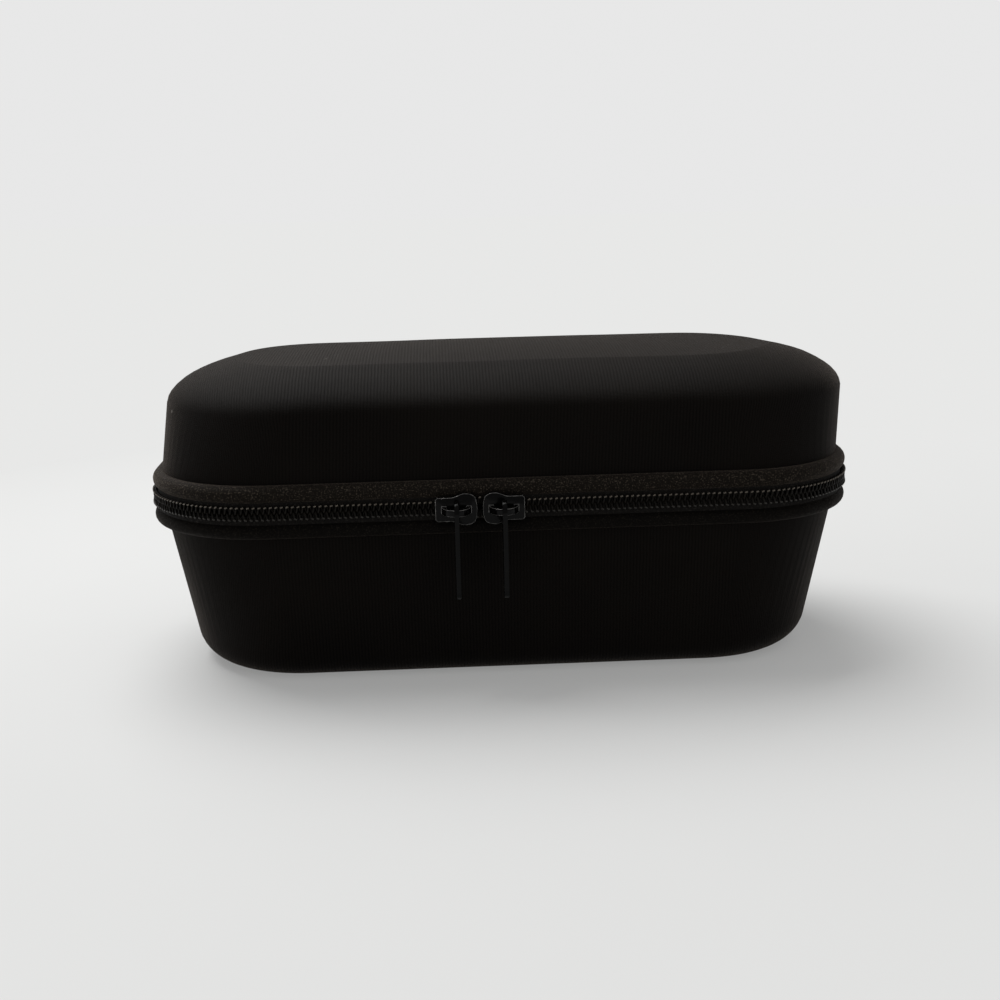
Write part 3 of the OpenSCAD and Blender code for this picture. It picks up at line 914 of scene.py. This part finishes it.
def beads():
    dress(ring("lid_bead", bead_section(lid_step, 1, lid_bead_r, lid_bead_z)), BEAD, "lid")
    # The base's bead takes the darker copy of the cloth, which is painted shade.
    dress(ring("base_bead", bead_section(base_step, -1)), SHADED_LOWER_BEAD, "base")


def bindings():
    for body, up, inset in (("lid", 1, lid_inset), ("base", -1, base_inset)):
        edge = seam_z + up * edge_z
        end = edge + up * binding_h
        wall, end_wall = inset(wall_t + lining_t, edge), inset(wall_t + lining_t, end)
        section = [
            (binding_u, edge - up * binding_t), (wall + binding_t, edge - up * binding_t),
            (end_wall + binding_t, end), (end_wall, end), (wall, edge), (binding_u, edge),
        ]
        piece = settle(ease_corners(ring(body + "_binding_cloth", section)))
        dress(piece, TAPE, body, [body + "_binding"])


# Zip

coil_run_r = rim_r - lip_t
front_arc = coil_run_r * math.pi / 2
side_start = core_x + front_arc
back_start = side_start + 2 * core_y
zip_half_l = back_start + coil_run_r * math.radians(zip_end_turn)


def along(s):
    """Place on the coil's line at distance s right of the middle, and the outward way there."""
    side = 1 if s >= 0 else -1
    s = abs(s)
    if s < core_x:
        return Vector((side * s, -core_y - coil_run_r, 0)), Vector((0, -1, 0))
    if s < side_start:
        turn = (s - core_x) / coil_run_r
        out = Vector((side * math.sin(turn), -math.cos(turn), 0))
        return Vector((side * core_x, -core_y, 0)) + out * coil_run_r, out
    if s < back_start:
        return Vector((side * (core_x + coil_run_r), -core_y + s - side_start, 0)), Vector((side, 0, 0))
    turn = (s - back_start) / coil_run_r
    out = Vector((side * math.cos(turn), math.sin(turn), 0))
    return Vector((side * core_x, core_y, 0)) + out * coil_run_r, out


def lift(s):
    """How far a half stands off the seam where the sliders part the coil."""
    return parted * (1 - float(smooth((abs(s - meet_x) - slider_x) / (slider_l / 2 - 1 * MM))))


def wire_coil(name, up, phase, body, node):
    """One half of the coil: a single nylon wire wound flat, one turn for each pitch."""
    steps = 10
    turns = math.floor(zip_half_l / coil_pitch - 0.5)
    half_h = (coil_reach + interlock) / 2 - wire_r
    mid_z = (coil_reach - interlock) / 2
    half_t = coil_t / 2 - wire_r
    points, sizes = [], []
    for k in range(-turns * steps, turns * steps + 1):
        angle = 2 * math.pi * k / steps
        s = (k / steps + phase) * coil_pitch
        place, out = along(s)
        flat = math.copysign(abs(math.cos(angle)) ** 0.7, math.cos(angle))
        z = seam_z + up * (lift(s) + mid_z - half_h * flat)
        points.append(place + out * (half_t + wire_r + half_t * math.sin(angle)) + Vector((0, 0, z)))
        sizes.append(1.0 + 0.12 * max(0, math.cos(angle)))
    curve = bpy.data.curves.new(name, "CURVE")
    curve.dimensions = "3D"
    curve.bevel_depth = wire_r
    curve.bevel_resolution = 1
    curve.use_fill_caps = True
    spline = curve.splines.new("POLY")
    spline.points.add(len(points) - 1)
    spline.points.foreach_set("co", [c for p in points for c in (*p, 1)])
    spline.points.foreach_set("radius", sizes)
    wire = bpy.data.objects.new(name, curve)
    bpy.context.scene.collection.objects.link(wire)
    select_alone(wire)
    bpy.ops.object.convert(target="MESH")
    bpy.ops.object.shade_smooth()
    return dress(bpy.context.object, NYLON, body, [node])


def zip_stitches(name, up, phase, body):
    """The row of stitches that holds a coil to its tape, one stitch over each turn."""
    stitch = stitch_shape(0.7 * MM, 0.05 * MM)
    turns = math.floor(zip_half_l / coil_pitch - 0.5)
    places = []
    for k in range(-turns, turns + 1):
        s = (k + phase + 0.5) * coil_pitch
        place, out = along(s)
        z = seam_z + up * (lift(s) + coil_reach - (lid_stitch_drop if up > 0 else base_stitch_drop))
        way = Vector((0, 0, 1)).cross(out)
        spot = place + out * (coil_t - stitch_sunk) + Vector((0, 0, z))
        places.append(stitch_place(spot, way, out, 90 - zip_stitch_slant * up))
    # The base's row takes the darker thread, which is painted shade.
    return dress(copies(name, stitch, places), THREAD if up > 0 else SHADED_LOWER_THREAD, body)


def zip_tapes():
    for body, up in (("lid", 1), ("base", -1)):
        section = [
            (lip_t, seam_z + up * tape_edge), (lip_t + tape_t, seam_z + up * tape_edge),
            (lip_t + tape_t, seam_z + up * edge_z), (lip_t, seam_z + up * edge_z),
        ]
        dress(zip_run(body + "_tape", section), TAPE, body, [body + "_zip_tape"])
    wire_coil("lid_wire", 1, 0.5, "lid", "lid_coil")
    wire_coil("base_wire", -1, 0, "base", "base_coil")
    zip_stitches("lid_zip_stitches", 1, 0.5, "lid")
    zip_stitches("base_zip_stitches", -1, 0, "base")


def sliders_and_tabs():
    """The solids' own forms, with rounded edges, a lighter and partly metallic finish on the sliders' bevels
    as a painted highlight, and a lower nose.
    """
    for side in ("left", "right"):
        for kind, rounding in (("slider", 0.17 * MM), ("pull_tab", 0.2 * MM)):
            node = f"{side}_{kind}"
            piece = merged_copy(node, node + "_painted")
            if kind == "slider":
                p = places_of(piece)
                high = p[:, 2] - seam_z
                over = np.maximum(np.abs(high) - nose_from, 0)
                p[:, 2] = seam_z + np.sign(high) * (np.minimum(np.abs(high), nose_from) + over * nose_share)
                set_places(piece, p)
            dress(piece, PAINT, node, [node])
            # The sliders' bevels take the second material, the painted edge highlight.
            if kind == "slider":
                piece.data.materials.append(EDGE_HIGHLIGHT)
            use_modifier(
                piece, "BEVEL", width=rounding, segments=2, angle_limit=math.radians(35),
                use_clamp_overlap=True, material=1 if kind == "slider" else -1,
            )
            bpy.ops.object.shade_smooth_by_angle(angle=math.radians(35))


# Hinge


def strip_section(front, back, reach):
    """A strip over the seam, with rows of edges across it so that it can bend."""
    rows = 12
    levels = [seam_z - reach + 2 * reach * i / rows for i in range(rows + 1)]
    return [(front, z) for z in levels] + [(back, z) for z in reversed(levels)]


def hinge():
    """The cloth that joins the shells along the back, and its lining strip inside."""
    cloth = hinge_run("hinge_cloth", strip_section(lip_t, lip_t + tape_t, edge_z))
    dress(cloth, TAPE, None, ["hinge_fabric"])
    inner = strip_section(binding_u, binding_u + binding_t, edge_z - binding_t)
    lining = swept("hinge_lining_cloth", inner, [("run", 2 * core_x)], (core_x, core_y), 90)
    dress(lining, TAPE, None, ["hinge_lining"])
    for piece, reach in ((cloth, edge_z), (lining, edge_z - binding_t)):
        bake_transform(piece)


# Inside of the base and of the lid


def foam_bed():
    """The cradle: cut foam whose edges have gone round, and that has settled unevenly."""
    piece = merged_copy("foam_cradle", "foam_bed")
    use_modifier(piece, "REMESH", mode="VOXEL", voxel_size=1.6 * MM)
    use_modifier(piece, "SMOOTH", factor=0.5, iterations=6)
    use_modifier(piece, "DISPLACE", strength=-0.3 * MM, mid_level=0)
    x, y, z = places_of(piece).T
    worn = smooth((z - cradle_z + 5 * MM) / (4 * MM))
    dents = np.sin(x / (13 * MM) + 0.4) * np.sin(y / (9 * MM) + 1.1)
    dents = dents + 0.5 * np.sin(x / (5.5 * MM)) * np.cos(y / (6 * MM))
    z = z - worn * (0.25 + 0.18 * dents) * MM
    set_places(piece, np.stack([x, y, z], 1))
    select_alone(piece)
    bpy.ops.object.shade_smooth()
    dress(piece, FOAM, "base", ["foam_cradle"])


def padded_divider():
    """Two faces of cloth over a foam core, sewn together round their edge and blown up by simulation."""
    node_low, node_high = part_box("divider")
    middle = (node_low.x + node_high.x) / 2
    piece = merged_copy("divider", "padded_divider")
    p = places_of(piece)
    p[:, 0] = middle + (p[:, 0] - middle) * 0.72
    p[:, 1] *= 0.992
    set_places(piece, p)
    use_modifier(piece, "REMESH", mode="VOXEL", voxel_size=1.3 * MM)
    before = places_of(piece)
    seam = piece.vertex_groups.new(name="seam")
    low, high = before.min(0), before.max(0)
    for i, (x, y, z) in enumerate(before):
        if min(z - low[2], high[2] - z, high[1] - abs(y)) < 0.7 * MM:
            seam.add([i], 1.0, "REPLACE")
    select_alone(piece)
    cloth = piece.modifiers.new("cloth", "CLOTH")
    cloth.settings.quality = 5
    cloth.settings.mass = 0.2
    cloth.settings.use_pressure = True
    cloth.settings.uniform_pressure_force = 4
    cloth.settings.vertex_group_mass = "seam"
    cloth.settings.effector_weights.gravity = 0
    for number in range(1, 21):
        bpy.context.scene.frame_set(number)
    bpy.ops.object.modifier_apply(modifier="cloth")
    bpy.context.scene.frame_set(1)
    moved = places_of(piece) - before
    length = np.linalg.norm(moved, axis=1, keepdims=True)
    cap = 1.1 * MM
    set_places(piece, before + moved * np.minimum(1, cap / np.maximum(length, 1e-9)))
    use_modifier(piece, "SMOOTH", factor=0.5, iterations=3)
    use_modifier(piece, "SUBSURF", levels=1, render_levels=1)
    select_alone(piece)
    bpy.ops.object.shade_smooth()
    dress(piece, LINING, "base", ["divider"])


def hook_tapes():
    """The divider's two strips of hook tape, with rounded edges."""
    piece = merged_copy("divider_hook_tapes", "hook_strips")
    use_modifier(piece, "BEVEL", width=0.25 * MM, segments=2, limit_method="ANGLE")
    bpy.ops.object.shade_smooth_by_angle(angle=math.radians(35))
    dress(piece, HOOKS, "base", ["divider_hook_tapes"])


def lid_net():
    """The net of the lid's pocket: one sheet that sags a little between its sewn edges."""
    net_low, net_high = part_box("pocket_net")
    inset = half_l - net_high.x
    piece = rim_outline("lid_net", inset, net_high.z - 0.15 * MM)
    cut_into_cells(5 * MM)
    bpy.ops.mesh.select_all(action="SELECT")
    bpy.ops.mesh.bisect(plane_co=(0, net_low.y, 0), plane_no=(0, 1, 0), clear_inner=True)
    finished(piece)
    x, y, z = places_of(piece).T
    free = smooth((half_l - inset - np.abs(x)) / (25 * MM)) * smooth((net_high.y - y) / (20 * MM))
    z = z - free * 0.35 * MM * (1 + 0.3 * np.sin(x / (11 * MM)))
    set_places(piece, np.stack([x, y, z], 1))
    use_modifier(piece, "SOLIDIFY", thickness=0.25 * MM, offset=0)
    dress(piece, NET, "lid", ["pocket_net"])


def pocket_band():
    """The elastic along the mouth of the pocket, gathered a little by its stitching."""
    low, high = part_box("pocket_elastic")
    start_alone()
    bpy.ops.mesh.primitive_cube_add(size=1, location=(low + high) / 2)
    piece = named("pocket_band")
    piece.scale = high - low
    bpy.ops.object.transform_apply(location=True, rotation=True, scale=True)
    edit_all()
    bpy.ops.mesh.bevel(affect="EDGES", offset=0.45 * MM, segments=3)
    cuts = 70
    for i in range(1, cuts):
        bpy.ops.mesh.select_all(action="SELECT")
        bpy.ops.mesh.bisect(plane_co=(low.x + (high.x - low.x) * i / cuts, 0, 0), plane_no=(1, 0, 0))
    finished(piece)
    x, y, z = places_of(piece).T
    middle = (low.z + high.z) / 2
    z = middle + (z - middle) * (0.85 + 0.12 * np.cos(x / (1.6 * MM)))
    set_places(piece, np.stack([x, y, z], 1))
    dress(piece, ELASTIC, "lid", ["pocket_elastic"])


def pocket_edge():
    """The binding that holds the net's other sides."""
    low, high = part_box("pocket_binding")
    inset = half_l - high.x
    width = 4 * MM
    section = [
        (inset + 0.15 * MM, low.z), (inset + width, low.z), (inset + width + 0.1 * MM, low.z + 0.3 * MM),
        (inset + width - 0.1 * MM, high.z), (inset, high.z), (inset, low.z + 0.2 * MM),
    ]
    side = core_y - low.y
    legs = [("run", side), ("turn", 90), ("run", 2 * core_x), ("turn", 90), ("run", side)]
    piece = swept("pocket_edge", section, legs, (core_x, low.y), 0)
    dress(piece, TAPE, "lid", ["pocket_binding"])


def edge_stitches(name, body, up, inset):
    """The row of stitches that holds a binding to its wall, all round."""
    stitch = stitch_shape(2.1 * MM, 0.06 * MM)
    z = seam_z + up * (edge_z + edge_stitch_z)
    deep = inset(wall_t + lining_t, z) + binding_t
    radius = rim_r - deep
    quarter = radius * math.pi / 2
    length = 4 * (core_x + core_y + quarter)
    count = round(length / edge_stitch_pitch)
    places = []
    for k in range(count):
        s = k * length / count
        for centre, start, kind, amount in (
            ((core_x, core_y), 90, "run", 2 * core_x), ((-core_x, core_y), 90, "turn", quarter),
            ((-core_x, core_y), 180, "run", 2 * core_y), ((-core_x, -core_y), 180, "turn", quarter),
            ((-core_x, -core_y), 270, "run", 2 * core_x), ((core_x, -core_y), 270, "turn", quarter),
            ((core_x, -core_y), 0, "run", 2 * core_y), ((core_x, core_y), 0, "turn", quarter),
        ):
            if s < amount:
                break
            s -= amount
        angle = math.radians(start) + (s / radius if kind == "turn" else 0)
        out = Vector((math.cos(angle), math.sin(angle), 0))
        way = Vector((-out.y, out.x, 0))
        spot = Vector((*centre, z)) + out * (radius - stitch_sunk) + (way * s if kind == "run" else Vector())
        places.append(stitch_place(spot, way, out, 90))
    return dress(settle(ease_corners(copies(name, stitch, places))), THREAD, body)


shells()
linings()
beads()
bindings()
edge_stitches("lid_edge_stitches", "lid", 1, lid_inset)
edge_stitches("base_edge_stitches", "base", -1, base_inset)
zip_tapes()
sliders_and_tabs()
hinge()
foam_bed()
padded_divider()
hook_tapes()
pocket_band()
lid_net()
pocket_edge()


# Floor, light and camera

backdrop_grey = (0.805, 0.807, 0.8, 1)
world_level = 0.37


def floor():
    """A pale floor that fades into the backdrop's own grey away from the case."""
    start_alone()
    bpy.ops.mesh.primitive_plane_add(size=6, location=(0, 0, 0))
    piece = named("floor")
    f = Finish("pale_floor", Roughness=0.9, Specular_IOR_Level=0.1)
    tone = f.noise(30, 2.0)
    rays = f.tree.nodes.new("ShaderNodeLightPath")
    pale = f.mix(tone, (0.67, 0.672, 0.665), (0.685, 0.687, 0.68))
    on_show = f.maths("MAXIMUM", rays.outputs["Is Camera Ray"], rays.outputs["Is Glossy Ray"])
    f.feed("Base Color", f.mix(on_show, (0.4, 0.4, 0.39), pale))
    plain = f.tree.nodes.new("ShaderNodeEmission")
    plain.inputs["Color"].default_value = backdrop_grey
    far = f.tree.nodes.new("ShaderNodeVectorMath")
    far.operation = "LENGTH"
    f.tree.links.new(f.place, far.inputs[0])
    fade = f.remap(far.outputs["Value"], 0.1, 0.34, 0.3, 1)
    seen = f.maths("MULTIPLY", fade, on_show)
    mix = f.tree.nodes.new("ShaderNodeMixShader")
    f.tree.links.new(seen, mix.inputs["Fac"])
    f.tree.links.new(f.shader.outputs[0], mix.inputs[1])
    f.tree.links.new(plain.outputs[0], mix.inputs[2])
    f.tree.links.new(mix.outputs[0], f.tree.nodes["Material Output"].inputs["Surface"])
    piece.data.materials.append(f.material)


def lamp(name, size, power, place, aim):
    """A soft square lamp that faces a point."""
    data = bpy.data.lights.new(name, "AREA")
    data.size = size
    data.energy = power
    holder = bpy.data.objects.new(name, data)
    way = Vector(aim) - Vector(place)
    holder.rotation_euler = way.to_track_quat("-Z", "Y").to_euler()
    holder.location = place
    bpy.context.scene.collection.objects.link(holder)


def light():
    world = bpy.data.worlds.new("studio")
    bpy.context.scene.world = world
    world.use_nodes = True
    tree = world.node_tree
    background = tree.nodes["Background"]
    rays = tree.nodes.new("ShaderNodeLightPath")
    background.inputs["Color"].default_value = (1, 1, 1, 1)
    seen = maths(tree, "MAXIMUM", rays.outputs["Is Camera Ray"], rays.outputs["Is Transmission Ray"])
    extra = maths(tree, "MULTIPLY", seen, backdrop_grey[0] - world_level)
    tree.links.new(maths(tree, "ADD", extra, world_level), background.inputs["Strength"])
    lamp("top_lamp", 0.9, 13, (-0.3, 0.42, 0.93), (0, 0, 0.05))


def camera():
    """The photograph's camera, aimed at a point in the middle of the case."""
    azimuth, elevation, roll = math.radians(-2.36), math.radians(13.19), math.radians(-1.39)
    distance, focal_share = 422.8 * MM, 1.4672
    aim = Vector((0.1 * MM, 0, 39.24 * MM))
    level = math.cos(elevation)
    back = Vector((math.sin(azimuth) * level, -math.cos(azimuth) * level, math.sin(elevation)))
    data = bpy.data.cameras.new("camera")
    data.sensor_fit = "HORIZONTAL"
    data.sensor_width = 36
    data.lens = 36 * focal_share
    data.clip_start = 0.01
    holder = bpy.data.objects.new("camera", data)
    turn = (-back).to_track_quat("-Z", "Y").to_matrix() @ Matrix.Rotation(roll, 3, "Z")
    holder.matrix_world = Matrix.Translation(aim + back * distance) @ turn.to_4x4()
    bpy.context.scene.collection.objects.link(holder)
    bpy.context.scene.camera = holder


floor()
light()
camera()
bpy.context.scene.view_settings.view_transform = "Standard"
